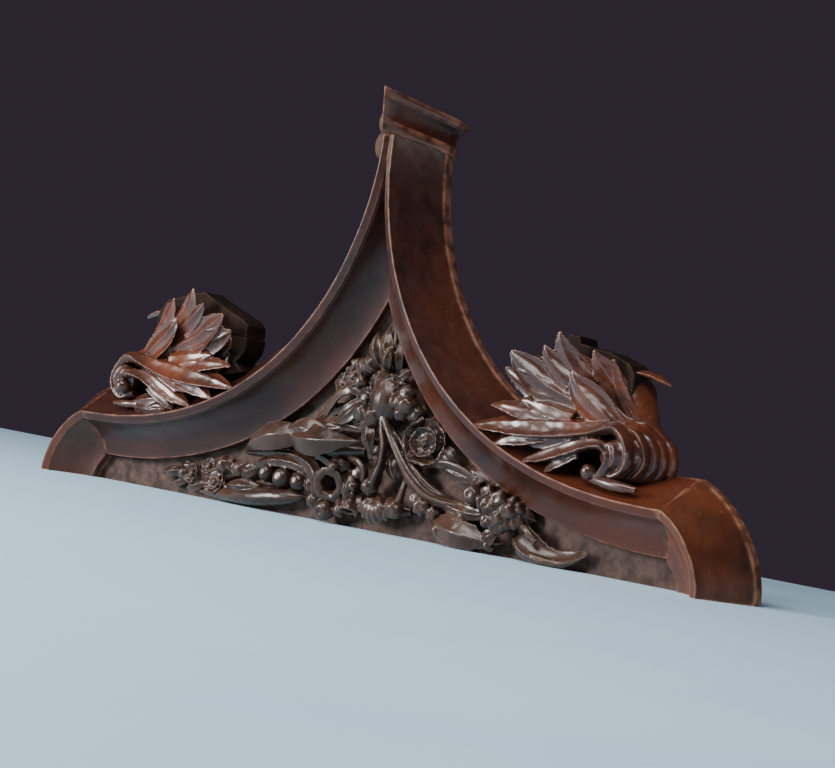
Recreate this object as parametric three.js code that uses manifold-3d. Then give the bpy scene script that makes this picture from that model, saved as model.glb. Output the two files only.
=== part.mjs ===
// A carved walnut pediment for the top of a tall cabinet or bed: two concave mouldings rise from
// quarter-round feet to a narrow neck with a moulded cap, over a board carved with fruit and flowers.
// Millimetres, +Z up, +X right, +Y to the back. The origin is in the middle of the board's lower edge.
import * as THREE from 'three';
import { mergeVertices } from 'three/addons/utils/BufferGeometryUtils.js';
import Module from 'manifold-3d';

const wasm = await Module();
wasm.setup();

// ---------------------------------------------------------------- driving dimensions
const HALF_WIDTH = 600; // front corner of a foot, from the centre line
const MITRE = [531, 98.5]; // where foot and arm meet, on the front arris
const NECK = [10.4, 566]; // top of the front arris
const ARM_PULLS = [[98, 92], [-4, 406.5]]; // Bezier handles of the arm's front arris
const FOOT_PULLS = [[601, 34.5], [568, 83]]; // Bezier handles of the foot's front arris

const BOARD_THICK = 14;
const MOULDING_DEEP = 69; // front arris to the board's face
const SPLAY = 45.3; // how far the outer face spreads by the time it reaches the board
const FILLET = [10.5, 5]; // inner edge of the front fillet: inwards, backwards
const COVE_EDGE = [60.3, 54]; // lower edge of the cove: inwards, backwards
const COVE_SAG = 10.5; // how hollow the cove is
const BACK_WIDE = 40; // how far the back strip reaches inwards from the front arris line

const CAP_TILT = 12 * Math.PI / 180; // the cap falls towards the back
const CAP_Z = 548; // underside of the cap in the front plane
const CAP_BED = 13;
const CAP_COVE = 28;
const CAP_ABACUS = 10;
const CAP_REAR = 4; // how far the abacus stands behind the board
const CAP_LEAN = 0.36; // how much further forward the nose comes for each millimetre of height
const CAP_RISE = 0.001; // how much thicker the courses get for each millimetre forward of the board

const GAP = 0.3; // between pieces that touch
const FRONT = -MOULDING_DEEP - BOARD_THICK / 2; // y of the front arris plane
const FACE = -BOARD_THICK / 2; // y of the board's face
const BACK = BOARD_THICK / 2;
const FAR = 3000; // edge of the boxes that cut planes
const ARM_STEPS = 14;
const FOOT_STEPS = 6;
const LEAD = 90; // how far each sweep runs on past the mitre, to be cut there
const COVE_STEPS = 5;

// ---------------------------------------------------------------- materials
function wood(color, roughness) {
  return new THREE.MeshStandardMaterial({ color, roughness, metalness: 0 });
}
const WALNUT = wood(0x3d1f16, 0.38);
const WORN_WALNUT = wood(0x5a2a19, 0.42);
const CARVED_WALNUT = wood(0x2f1d18, 0.34);
const BARE_WALNUT = wood(0x6b4028, 0.6);

// ---------------------------------------------------------------- solids
function solidOf(geometry) {
  const bare = geometry.index ? geometry.toNonIndexed() : geometry.clone();
  bare.deleteAttribute('normal');
  bare.deleteAttribute('uv');
  const merged = mergeVertices(bare, 1e-4);
  return new wasm.Manifold(new wasm.Mesh({
    numProp: 3,
    vertProperties: new Float32Array(merged.attributes.position.array),
    triVerts: new Uint32Array(merged.index.array),
  }));
}

function geometryOf(solid) {
  const mesh = solid.getMesh();
  const geometry = new THREE.BufferGeometry();
  geometry.setAttribute('position', new THREE.BufferAttribute(mesh.vertProperties, 3));
  geometry.setIndex(new THREE.BufferAttribute(mesh.triVerts, 1));
  geometry.computeVertexNormals();
  return geometry;
}

function signedVolume(points, faces) {
  let six = 0;
  for (const [a, b, c] of faces) {
    six += points[a].dot(new THREE.Vector3().crossVectors(points[b], points[c]));
  }
  return six / 6;
}

// A closed skin over rings of equal length; outline is one ring in two dimensions, for the end faces.
function skin(rings, outline) {
  const n = outline.length;
  const points = rings.flat();
  const faces = [];
  for (let r = 0; r + 1 < rings.length; r += 1) {
    for (let i = 0; i < n; i += 1) {
      const j = (i + 1) % n;
      faces.push([r * n + i, r * n + j, (r + 1) * n + j], [r * n + i, (r + 1) * n + j, (r + 1) * n + i]);
    }
  }
  const ends = THREE.ShapeUtils.triangulateShape(outline.map(([u, v]) => new THREE.Vector2(u, v)), []);
  const windsBack = THREE.ShapeUtils.isClockWise(outline.map(([u, v]) => new THREE.Vector2(u, v)));
  const last = (rings.length - 1) * n;
  for (const [a, b, c] of ends) {
    const near = windsBack ? [a, b, c] : [c, b, a];
    faces.push(near, [last + near[2], last + near[1], last + near[0]]);
  }
  if (signedVolume(points, faces) < 0) faces.forEach((face) => face.reverse());
  const geometry = new THREE.BufferGeometry();
  const flat = points.flatMap((p) => [p.x, p.y, p.z]);
  geometry.setAttribute('position', new THREE.Float32BufferAttribute(flat, 3));
  geometry.setIndex(faces.flat());
  return solidOf(geometry);
}

// An outline in the XZ plane, carried from one depth to another.
function slab(outline, from, to) {
  const rings = [from, to].map((y) => outline.map(([x, z]) => new THREE.Vector3(x, y, z)));
  return skin(rings, outline);
}

// A carving that stands on the plane y = base: its outline shrinks towards the front.
function relief(outline, base, high) {
  const n = outline.length;
  const cx = outline.reduce((sum, p) => sum + p[0], 0) / n;
  const cz = outline.reduce((sum, p) => sum + p[1], 0) / n;
  const rings = [[1, 0], [0.92, 0.55], [0.55, 1]].map(([scale, rise]) => outline.map(([x, z]) => (
    new THREE.Vector3(cx + (x - cx) * scale, base - high * rise, cz + (z - cz) * scale))));
  return skin(rings, outline);
}

function halfSpace(point, normal) {
  const box = new THREE.BoxGeometry(FAR, FAR, FAR).translate(0, 0, -FAR / 2);
  const up = new THREE.Vector3(0, 0, 1);
  box.applyQuaternion(new THREE.Quaternion().setFromUnitVectors(up, normal.clone().normalize()));
  return solidOf(box.translate(point.x, point.y, point.z));
}

function mirrored(solid) {
  const geometry = geometryOf(solid);
  geometry.scale(-1, 1, 1);
  const index = geometry.index.array;
  for (let i = 0; i < index.length; i += 3) [index[i + 1], index[i + 2]] = [index[i + 2], index[i + 1]];
  return solidOf(geometry);
}

// ---------------------------------------------------------------- the arm's and foot's lines
function bezier(points, t) {
  const s = 1 - t;
  const weights = [s * s * s, 3 * s * s * t, 3 * s * t * t, t * t * t];
  const slopes = [-3 * s * s, 3 * s * s - 6 * s * t, 6 * s * t - 3 * t * t, 3 * t * t];
  const sum = (w, k) => points.reduce((total, p, i) => total + w[i] * p[k], 0);
  return { at: [sum(weights, 0), sum(weights, 1)], along: [sum(slopes, 0), sum(slopes, 1)] };
}

// Stations along a curve from the mitre, each with its point, its direction and the normal that points
// into the pediment, which is to the left of the way for an arm (hand 1) and to the right for a foot (-1).
function stations(points, steps, lead, hand) {
  const list = [];
  for (let i = 0; i <= steps; i += 1) {
    const { at, along } = bezier(points, i / steps);
    const length = Math.hypot(...along);
    const dir = [along[0] / length, along[1] / length];
    list.push({ at, dir, inward: [-dir[1] * hand, dir[0] * hand] });
  }
  const first = list[0];
  const before = [first.at[0] - first.dir[0] * lead, first.at[1] - first.dir[1] * lead];
  return [{ ...first, at: before }, ...list];
}

const ARM_CURVE = [MITRE, ...ARM_PULLS, NECK];
const FOOT_CURVE = [MITRE, ...FOOT_PULLS.slice().reverse(), [HALF_WIDTH, 0]];
const ARM = stations(ARM_CURVE, ARM_STEPS, LEAD, 1);
const FOOT = stations(FOOT_CURVE, FOOT_STEPS, LEAD, -1);
FOOT.push({ ...FOOT[FOOT.length - 1], at: [HALF_WIDTH, -8] });

function offsetPoint(station, inwards) {
  return [station.at[0] + station.inward[0] * inwards, station.at[1] + station.inward[1] * inwards];
}

// A section, as pairs of inward offset and depth behind the front plane, carried along the stations.
function sweep(path, section) {
  const rings = path.map((station) => section.map(([inwards, deep]) => {
    const [x, z] = offsetPoint(station, inwards);
    return new THREE.Vector3(x, FRONT + deep, z);
  }));
  return skin(rings, section);
}

// ---------------------------------------------------------------- cutting planes
const armDir = ARM[0].dir;
const footDir = FOOT[0].dir;
const mitreNormal = new THREE.Vector3(footDir[0] - armDir[0], 0, footDir[1] - armDir[1]).normalize();
const mitrePoint = new THREE.Vector3(MITRE[0], 0, MITRE[1]);
const mitreShift = mitreNormal.clone().multiplyScalar(GAP / 2);
const armSide = halfSpace(mitrePoint.clone().sub(mitreShift), mitreNormal);
const footSide = halfSpace(mitrePoint.clone().add(mitreShift), mitreNormal.clone().negate());
const rightOfCentre = halfSpace(new THREE.Vector3(GAP / 2, 0, 0), new THREE.Vector3(-1, 0, 0));
const aboveBase = halfSpace(new THREE.Vector3(0, 0, 0), new THREE.Vector3(0, 0, -1));
const capUp = new THREE.Vector3(0, Math.sin(CAP_TILT), Math.cos(CAP_TILT));
const underCap = halfSpace(new THREE.Vector3(0, FRONT, CAP_Z), capUp);

const trimArm = (solid) => solid.intersect(armSide).intersect(rightOfCentre).intersect(underCap);
const trimFoot = (solid) => solid.intersect(footSide).intersect(aboveBase);

// ---------------------------------------------------------------- mouldings
function coveArc(steps) {
  const [x0, y0] = FILLET;
  const [x1, y1] = COVE_EDGE;
  const long = Math.hypot(x1 - x0, y1 - y0);
  const side = [-(y1 - y0) / long, (x1 - x0) / long];
  const arc = [];
  for (let i = 1; i < steps; i += 1) {
    const t = i / steps;
    const sag = 4 * COVE_SAG * t * (1 - t);
    arc.push([x0 + (x1 - x0) * t + side[0] * sag, y0 + (y1 - y0) * t + side[1] * sag]);
  }
  return arc;
}

const MOULDING_BACK = MOULDING_DEEP - GAP;
const MOULDING = [
  [0, 0], FILLET, ...coveArc(COVE_STEPS), COVE_EDGE,
  [COVE_EDGE[0], MOULDING_BACK], [-SPLAY * MOULDING_BACK / MOULDING_DEEP, MOULDING_BACK],
];
const STRIP = [
  [-SPLAY, MOULDING_DEEP], [BACK_WIDE, MOULDING_DEEP],
  [BACK_WIDE, MOULDING_DEEP + BOARD_THICK], [-SPLAY, MOULDING_DEEP + BOARD_THICK],
];
// The moulding and strip grown outwards by the gap, to cut what stands on them.
const SEAT_INSIDE = 30;
const SEAT_FRONT = -1;
const SEAT_REAR = MOULDING_DEEP + BOARD_THICK + 1;
const SEAT = [
  [-GAP, SEAT_FRONT], [SEAT_INSIDE, SEAT_FRONT], [SEAT_INSIDE, SEAT_REAR],
  [-SPLAY - GAP, SEAT_REAR], [-SPLAY - GAP, MOULDING_DEEP],
];

const armMoulding = trimArm(sweep(ARM, MOULDING));
const footMoulding = trimFoot(sweep(FOOT, MOULDING));
const armStrip = trimArm(sweep(ARM, STRIP));
const footStrip = trimFoot(sweep(FOOT, STRIP));
const armSeat = sweep(ARM, SEAT);

// ---------------------------------------------------------------- the board
function boardOutline() {
  const inside = BACK_WIDE + GAP;
  const foot = FOOT.slice(2, -2).reverse().map((s) => offsetPoint(s, inside));
  const arm = ARM.slice(2).map((s) => offsetPoint(s, inside));
  foot.unshift([HALF_WIDTH - inside, 0]);
  const right = [...foot, ...arm].filter(([x, z]) => x > GAP && z >= 0);
  const last = right[right.length - 1];
  const next = arm[right.length - foot.length];
  const share = last[0] / (last[0] - next[0]);
  const apex = [0, last[1] + (next[1] - last[1]) * share - 2];
  const left = right.slice().reverse().map(([x, z]) => [-x, z]);
  return [...right, apex, ...left];
}
const board = slab(boardOutline(), FACE, BACK);

// ---------------------------------------------------------------- the cap
// The cap's plan: two long sides that spread with the neck from a narrow nose, then short returns.
function capPlan(high, out) {
  const length = Math.hypot(SPLAY, MOULDING_DEEP);
  const across = MOULDING_DEEP / length;
  const back = SPLAY / length;
  const nose = 1;
  const wide = NECK[0] + SPLAY;
  const noseDeep = MOULDING_DEEP - ((wide - nose) * across + 1) / back - CAP_LEAN * high;
  const cornerDeep = MOULDING_DEEP + out * (across - 1) / back;
  const rear = MOULDING_DEEP + BOARD_THICK + Math.max(out, 0) + CAP_REAR;
  const right = [[nose, noseDeep], [wide + out, cornerDeep], [wide + out, rear]];
  return [...right, ...right.slice().reverse().map(([x, y]) => [-x, y])];
}

function capHeight(high, y) {
  return high * (1 + CAP_RISE * (MOULDING_DEEP - y));
}

function capCourse(levels) {
  const ring = ([high, out]) => (
    capPlan(high, out).map(([x, y]) => new THREE.Vector3(x, y, capHeight(high, y))));
  return skin(levels.map(ring), capPlan(...levels[0]));
}

const coveTop = CAP_BED + CAP_COVE;
const bedCourse = capCourse([[GAP, 1], [CAP_BED, 1]]);
const coveCourse = capCourse([
  [CAP_BED + GAP, -2], [CAP_BED + 6, -5], [CAP_BED + 14, -6], [CAP_BED + 22, -3.5], [coveTop, 2],
]);
const abacusCourse = capCourse([[coveTop + GAP, 4], [coveTop + CAP_ABACUS, 4.5]]);
const capTop = coveTop + CAP_ABACUS;

// What is left of the lost finial's fixings, standing on the cap.
const DOWEL = { radius: 8, high: 9, x: 6, y: 44 };
const KEY = { radius: 5, high: 6, x: 12, y: 72 };
function stub({ radius, high, x, y }) {
  const peg = new THREE.CylinderGeometry(radius * 0.8, radius, high, 10).rotateX(Math.PI / 2);
  return solidOf(peg.translate(x, y, capHeight(capTop, y - radius) + GAP + high / 2));
}

// ---------------------------------------------------------------- neck cleat
const CLEAT = { x: -33.2, deep: [12, 30], bottom: 516, waist: 552, top: 587, out: 13 };
function cleatOutline() {
  const { x, bottom, waist, top, out } = CLEAT;
  const lobe = (from, to) => [0.15, 0.5, 0.85].map((t) => (
    [x - out * Math.sin(Math.PI * t) ** 0.6, from + (to - from) * t]));
  return [[x, bottom], ...lobe(bottom, waist), [x - out * 0.45, waist], ...lobe(waist, top), [x, top]];
}
const cleat = slab(cleatOutline(), FRONT + CLEAT.deep[0], FRONT + CLEAT.deep[1]);

// ---------------------------------------------------------------- acanthus on the right arm
const LEAF_BACK = 39; // depth of the leaf's back behind the front plane
const LAMINATION = 245; // height of the glue line in the block behind the leaf
const BLOCK_OUTLINE = [
  [246, 180], [440, 120], [446, 180], [462, 262], [421, 280], [400, 290], [330, 302], [285, 296], [246, 262],
];
const LEAF_FLOOR = 141; // the leaf's lower edge, above the foot leaf
const LEAF_OUTLINE = [
  [449, 100], [453, 198], [498, 212], [504, 258], [468, 248], [430, 278], [408, 262], [394, 279],
  [374, 264], [358, 290], [340, 266], [313, 304], [294, 262], [248, 271], [262, 236], [240, 198],
  [258, 190], [224, 171], [280, 100],
];
const LEAF_CENTRE = [380, 180];
const LEAF_SHRINK = [[3, 0.86], [20, 0.97], [LEAF_BACK, 1]]; // depth, and the outline's scale there
const VOLUTE = { x: 488, z: 158, radius: 37, deep: [3, 70], turnIn: 0.12, sides: 20 };
const FOOT_LEAF = [[452, 90], [452, 122], [430, 140], [392, 137], [366, 122], [366, 90]];
const FOOT_LEAF_DEEP = [6, 30];
// The room that the volute takes, which the leaves leave free.
const VOLUTE_ROOM = [[440, 200], [440, 90], [560, 90], [560, 200]];

function voluteOutline() {
  const outline = [];
  for (let i = 0; i < VOLUTE.sides; i += 1) {
    const share = i / VOLUTE.sides;
    const turn = share * 2 * Math.PI;
    const radius = VOLUTE.radius * (1 - VOLUTE.turnIn * share);
    outline.push([VOLUTE.x + radius * Math.cos(turn), VOLUTE.z + radius * Math.sin(turn)]);
  }
  return outline;
}

const standing = (solid) => solid.subtract(armSeat);
const leafFloor = halfSpace(new THREE.Vector3(0, 0, LEAF_FLOOR), new THREE.Vector3(0, 0, -1));
const block = standing(slab(BLOCK_OUTLINE, FRONT + LEAF_BACK + GAP, BACK - 1));
const blockCut = (z, up) => halfSpace(new THREE.Vector3(0, 0, z), new THREE.Vector3(0, 0, up));
const leafRings = LEAF_SHRINK.map(([deep, scale]) => LEAF_OUTLINE.map(([x, z]) => new THREE.Vector3(
  LEAF_CENTRE[0] + (x - LEAF_CENTRE[0]) * scale, FRONT + deep, LEAF_CENTRE[1] + (z - LEAF_CENTRE[1]) * scale,
)));
const leafStock = skin(leafRings, LEAF_OUTLINE);
const footLeaf = slab(FOOT_LEAF, FRONT + FOOT_LEAF_DEEP[0], FRONT + FOOT_LEAF_DEEP[1]);
const volute = slab(voluteOutline(), FRONT + VOLUTE.deep[0], FRONT + VOLUTE.deep[1]);
const leafClear = slab(VOLUTE_ROOM, FRONT - 1, BACK);

const acanthus = {
  acanthus_block_lower: block.intersect(blockCut(LAMINATION, 1)),
  acanthus_block_upper: block.intersect(blockCut(LAMINATION + GAP, -1)),
  acanthus_leaf: standing(leafStock).intersect(leafFloor).subtract(leafClear),
  acanthus_volute: standing(volute),
  acanthus_foot_leaf: standing(footLeaf).subtract(leafClear),
};

// ---------------------------------------------------------------- carvings on the board
function leafShape([x0, z0], [x1, z1], wide) {
  const long = Math.hypot(x1 - x0, z1 - z0);
  const side = [-(z1 - z0) / long, (x1 - x0) / long];
  const edge = (sign) => [0.15, 0.4, 0.7].map((t) => {
    const half = sign * wide / 2 * Math.sin(Math.PI * t ** 0.8);
    return [x0 + (x1 - x0) * t + side[0] * half, z0 + (z1 - z0) * t + side[1] * half];
  });
  return [[x0, z0], ...edge(-1), [x1, z1], ...edge(1).reverse()];
}

function flowerShape([x, z], radius, petals) {
  const outline = [];
  for (let i = 0; i < petals * 2; i += 1) {
    const turn = Math.PI * i / petals;
    const reach = radius * (i % 2 ? 0.82 : 1);
    outline.push([x + reach * Math.cos(turn), z + reach * Math.sin(turn)]);
  }
  return outline;
}

function stemShape(points, wide) {
  const curve = new THREE.SplineCurve(points.map(([x, z]) => new THREE.Vector2(x, z)));
  const at = curve.getPoints(8);
  const side = (sign) => at.map((p, i) => {
    const dir = curve.getTangent(i / 8);
    return [p.x - sign * dir.y * wide / 2, p.y + sign * dir.x * wide / 2];
  });
  return [...side(-1), ...side(1).reverse()];
}

const CARVINGS = [
  ['bouquet_top_bud', leafShape([4, 236], [-2, 292], 34), 26],
  ['bouquet_flower_cluster', flowerShape([8, 200], 33, 6), 44],
  ['bouquet_ribbon_loop', flowerShape([-64, 178], 27, 5), 24],
  ['bouquet_left_leaves', leafShape([-44, 128], [-232, 92], 44), 30],
  ['bouquet_right_rose', flowerShape([108, 138], 25, 6), 34],
  ['bouquet_stem_sheaf', stemShape([[0, 162], [12, 120], [24, 52]], 30), 30],
  ['bouquet_trumpet_flower', flowerShape([-62, 55], 26, 7), 36],
  ['bouquet_left_berries', stemShape([[-98, 68], [-150, 52], [-212, 62]], 26), 24],
  ['bouquet_pod', leafShape([-178, 22], [-338, 8], 22), 24],
  ['bouquet_left_roses', stemShape([[-232, 42], [-270, 38], [-312, 34]], 24), 20],
  ['bouquet_left_tip', leafShape([-322, 30], [-412, 26], 18), 14],
  ['bouquet_bottom_scallops', stemShape([[-84, 16], [0, 14], [84, 20]], 22), 30],
  ['bouquet_right_branch', stemShape([[66, 66], [120, 98], [188, 92]], 16), 22],
  ['bouquet_grape_cluster', flowerShape([232, 56], 27, 7), 34],
  ['bouquet_lower_leaf', leafShape([98, 30], [208, 16], 26), 26],
  ['bouquet_curled_leaf', leafShape([272, 36], [412, 12], 26), 24],
];

// ---------------------------------------------------------------- assembly
const pediment = new THREE.Group();

function add(name, solid, material, parent = pediment) {
  const mesh = new THREE.Mesh(geometryOf(solid), material);
  mesh.name = name;
  parent.add(mesh);
}

function addPair(name, solid, material) {
  add(`right_${name}`, solid, material);
  add(`left_${name}`, mirrored(solid), material);
}

add('tympanum_board', board, WALNUT);
addPair('arm_moulding', armMoulding, WALNUT);
addPair('foot_moulding', footMoulding, WORN_WALNUT);
addPair('arm_back_strip', armStrip, WORN_WALNUT);
addPair('foot_back_strip', footStrip, WORN_WALNUT);

const cap = new THREE.Group();
cap.position.set(0, FRONT, CAP_Z);
cap.rotation.x = -CAP_TILT;
pediment.add(cap);
add('cap_bed_fillet', bedCourse, WALNUT, cap);
add('cap_cavetto', coveCourse, WALNUT, cap);
add('cap_abacus', abacusCourse, WALNUT, cap);
add('finial_dowel', stub(DOWEL), BARE_WALNUT, cap);
add('finial_key', stub(KEY), BARE_WALNUT, cap);
add('neck_cleat', cleat, BARE_WALNUT);

for (const [name, solid] of Object.entries(acanthus)) {
  addPair(name, solid, name.includes('block') ? WALNUT : CARVED_WALNUT);
}

for (const [name, outline, high] of CARVINGS) {
  add(name, relief(outline, FACE - GAP, high), CARVED_WALNUT);
}

export default pediment;
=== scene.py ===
import math

import bmesh
import bpy
import numpy as np
from mathutils import Matrix, Vector


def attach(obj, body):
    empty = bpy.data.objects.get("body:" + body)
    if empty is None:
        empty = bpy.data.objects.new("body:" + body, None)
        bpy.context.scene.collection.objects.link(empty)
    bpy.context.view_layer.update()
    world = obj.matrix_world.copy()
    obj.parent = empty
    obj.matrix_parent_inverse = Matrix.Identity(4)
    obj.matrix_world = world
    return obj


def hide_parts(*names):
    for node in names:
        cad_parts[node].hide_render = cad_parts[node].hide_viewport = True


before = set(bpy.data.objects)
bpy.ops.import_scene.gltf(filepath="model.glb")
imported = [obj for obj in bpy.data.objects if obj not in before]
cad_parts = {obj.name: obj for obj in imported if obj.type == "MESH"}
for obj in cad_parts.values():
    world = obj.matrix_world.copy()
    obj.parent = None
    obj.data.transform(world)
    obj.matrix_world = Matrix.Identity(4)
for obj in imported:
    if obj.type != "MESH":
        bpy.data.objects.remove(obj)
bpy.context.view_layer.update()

# ---------------------------------------------------------------- driving dimensions, mm
FRONT_Y = -76.0  # y of the mouldings' front arris
FACE_DEPTH = 69.0  # front arris to the board's face
BACK_DEPTH = 83.0  # front arris to the board's back
SPLAY = 45.3  # how far the outer face spreads by the time it reaches the board
MITRE = (531.0, 98.5)  # where foot and arm meet, on the front arris
NECK = (10.4, 566.0)  # top of the front arris
ARM_CURVE = (MITRE, (98, 92), (-4, 406.5), NECK)
FOOT_CURVE = (MITRE, (568, 83), (601, 34.5), (600, 0))
CAP_TILT = math.radians(12)
CAP_Z = 548.0  # underside of the cap in the front plane
GAP = 0.3  # between pieces that touch
LEAD = 90.0  # how far each sweep runs on past the mitre, to be cut there
LEAD_STEPS = 20
ARM_STEPS = 170
FOOT_STEPS = 60
FOOT_TAIL = 9.0  # how far a foot runs on below the table, to be cut there
VOXEL = 0.0012  # metres, the grain of the fused carvings


def place(points):
    """(x, depth, z) in millimetres to scene metres."""
    p = np.asarray(points, float).reshape(-1, 3)
    return np.stack([p[:, 0], p[:, 1] + FRONT_Y, p[:, 2]], 1) / 1000


def unit(v):
    v = np.asarray(v, float)
    return v / (np.linalg.norm(v, axis=-1, keepdims=True) + 1e-12)


def wobble(p, size, seed):
    """A smooth, seeded, three-way unevenness of about plus or minus one, size millimetres long."""
    r = np.random.default_rng(seed)
    total = np.zeros((len(p), 3))
    for octave in range(4):
        k = r.normal(size=(3, 3)) * (2 * math.pi / size) * (1.0 + 0.6 * octave)
        total += np.sin(p @ k.T + r.uniform(0, 6.28, 3)) / (1.0 + octave)
    return total / 1.5


def along(points, count):
    """A smooth line through rows of control values."""
    c = np.asarray(points, float)
    c = np.vstack([2 * c[0] - c[1], c, 2 * c[-1] - c[-2]])
    u = np.linspace(0, len(c) - 3 - 1e-9, count)
    i = u.astype(int)
    t = (u - i)[:, None]
    a, b, d, e = c[i], c[i + 1], c[i + 2], c[i + 3]
    return 0.5 * (2 * b + (d - a) * t + (2 * a - 5 * b + 4 * d - e) * t**2 + (3 * b - a - 3 * d + e) * t**3)


# ---------------------------------------------------------------- shapes gathered as closed shells
class Clay:
    """Closed shells in (x, depth, z) millimetres, to be fused into one carved piece."""

    def __init__(self):
        self.verts = []
        self.faces = []
        self.count = 0

    def shell(self, rings):
        rings = np.asarray(rings, float)
        n, m = rings.shape[:2]
        base = self.count
        self.verts.append(rings.reshape(-1, 3))
        centres = np.stack([rings[0].mean(0), rings[-1].mean(0)])
        self.verts.append(centres)
        self.count += n * m + 2
        i, j = np.meshgrid(np.arange(n - 1), np.arange(m), indexing="ij")
        k = (j + 1) % m
        quads = np.stack([i * m + j, i * m + k, (i + 1) * m + k, (i + 1) * m + j], -1).reshape(-1, 4)
        self.faces += [tuple(q) for q in (quads + base).tolist()]
        first, last, top = base + n * m, base + n * m + 1, base + (n - 1) * m
        for a in range(m):
            b = (a + 1) % m
            self.faces.append((first, base + b, base + a))
            self.faces.append((last, top + a, top + b))

    def mirror(self):
        other = Clay()
        other.verts = [v * (-1, 1, 1) for v in self.verts]
        other.faces = [f[::-1] for f in self.faces]
        other.count = self.count
        return other

    def points(self):
        return np.vstack(self.verts)


def tube(clay, rows, sides=16, flutes=0, flute_deep=0.0, count=0, flat=1.0):
    """A rod through rows of (x, depth, z, radius), round-ended, with optional lengthwise flutes."""
    rows = np.asarray(rows, float)
    count = count or 12 * len(rows)
    line = along(rows, count)
    spots, radii = line[:, :3], np.maximum(line[:, 3], 0.15)
    tangent = unit(np.gradient(spots, axis=0))
    side = unit(np.cross(tangent, (0.05, -1.0, 0.1)))
    lift = np.cross(side, tangent)
    turn = np.linspace(0, 2 * math.pi, sides, endpoint=False)
    wave = 1 + flute_deep * np.cos(flutes * turn)
    ring = side[:, None] * (np.cos(turn) * wave)[None, :, None]
    ring = ring + flat * lift[:, None] * (np.sin(turn) * wave)[None, :, None]
    clay.shell(spots[:, None] + ring * radii[:, None, None])


def blade(clay, rows, facing, ridge=0.45, hollow=0.3, teeth=(), count=0, cup=0.0):
    """A leaf through rows of (x, depth, z, half width, thickness, roundness), its face turned to facing.

    It has a sharp midrib of height ridge with hollowed flanks where roundness is 0, and a round back
    where it is 1. cup sinks the middle, as a share of the half width.
    teeth are (share of length, reach, side): the edge swells to a point there.
    """
    rows = [(*row, 0.0) if len(row) == 5 else tuple(row) for row in rows]
    rows = np.asarray(rows, float)
    count = count or 14 * len(rows)
    line = along(rows, count)
    spots, half, thick = line[:, :3], np.maximum(line[:, 3], 0.2), np.maximum(line[:, 4], 0.8)
    soft = np.clip(line[:, 5], 0, 1)[:, None]
    face = np.asarray(facing, float)
    face = along(face, count) if face.ndim == 2 else np.tile(face, (count, 1))
    tangent = unit(np.gradient(spots, axis=0))
    side = unit(np.cross(tangent, face))
    lift = unit(np.cross(side, tangent))
    share = np.linspace(0, 1, count)
    left, right = np.ones(count), np.ones(count)
    for spot, reach, hand in teeth:
        rise = np.clip((share - spot + 0.16) / 0.16, 0, 1) ** 1.6 * (share <= spot)
        drop = np.clip(1 - (share - spot) / 0.035, 0, 1) * (share > spot)
        bump = reach * (rise + drop)
        if hand >= 0:
            right += bump
        if hand <= 0:
            left += bump
    v = np.linspace(-1, 1, 21)
    reach = np.where(v[None] < 0, left[:, None], right[:, None]) * half[:, None] * v[None]
    sharp = (1 - np.abs(v)) - hollow * np.sin(math.pi * np.abs(v))
    height = ridge * (sharp[None] * (1 - soft) + (1 - v**2)[None] * soft * 1.3)
    height = height - cup * (1 - v**2)[None]
    top = height * half[:, None]
    edge = 1 - 0.75 * np.abs(v) ** 3
    under = np.minimum(top, 0.0) - thick[:, None] * edge[None]
    upper = spots[:, None] + side[:, None] * reach[..., None] + lift[:, None] * top[..., None]
    lower = spots[:, None] + side[:, None] * (reach * 0.94)[..., None] + lift[:, None] * under[..., None]
    clay.shell(np.concatenate([upper, lower[:, ::-1]], 1))


def knob(clay, centre, radius, axis=(0, -1, 0), squash=1.0, flutes=0, deep=0.0, dimple=0.0, twist=0.0):
    """A bud or berry about an axis, with optional flutes and a sunken crown."""
    axis = unit(axis)
    a = unit(np.cross(axis, (0.31, 0.2, 0.93)))
    b = np.cross(axis, a)
    polar = np.linspace(0.04, math.pi - 0.04, 15)
    turn = np.linspace(0, 2 * math.pi, 24, endpoint=False)
    rings = []
    for p in polar:
        r = radius * math.sin(p) * (1 + deep * np.cos(flutes * (turn + twist * p)) * math.sin(p))
        h = radius * squash * math.cos(p) - dimple * radius * math.exp(-((p / 0.42) ** 2))
        ring = np.asarray(centre, float) + a * (r * np.cos(turn))[:, None]
        rings.append(ring + b * (r * np.sin(turn))[:, None] + axis * h)
    clay.shell(rings[::-1])


def rosette(clay, centre, radius, petals, axis=(0.1, -1, 0.2), lean=0.5, start=0.0, heart=0.3, thick=3.0,
        wide=0.62):
    """Cupped petals round a heart; lean is how far they stand forward."""
    axis = unit(axis)
    a = unit(np.cross(axis, (0.2, 0.1, 0.97)))
    b = np.cross(axis, a)
    c = np.asarray(centre, float)
    for k in range(petals):
        turn = start + 2 * math.pi * k / petals
        out = a * math.cos(turn) + b * math.sin(turn)
        rows = [
            [*(c + out * radius * 0.12), radius * 0.16, thick],
            [*(c + out * radius * 0.5 + axis * radius * lean * 0.5), radius * wide * 0.75, thick],
            [*(c + out * radius * 0.86 + axis * radius * lean), radius * wide * 0.8, thick],
            [*(c + out * radius * 1.02 + axis * radius * lean * 0.8), radius * wide * 0.22, thick * 0.8],
        ]
        blade(clay, rows, axis * 0.9 - out * 0.5, 0.0, 0.0, count=22, cup=0.42)
    knob(clay, c + axis * radius * heart * 0.6, radius * heart, axis, 0.8, 7, 0.1, 0.25)


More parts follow.
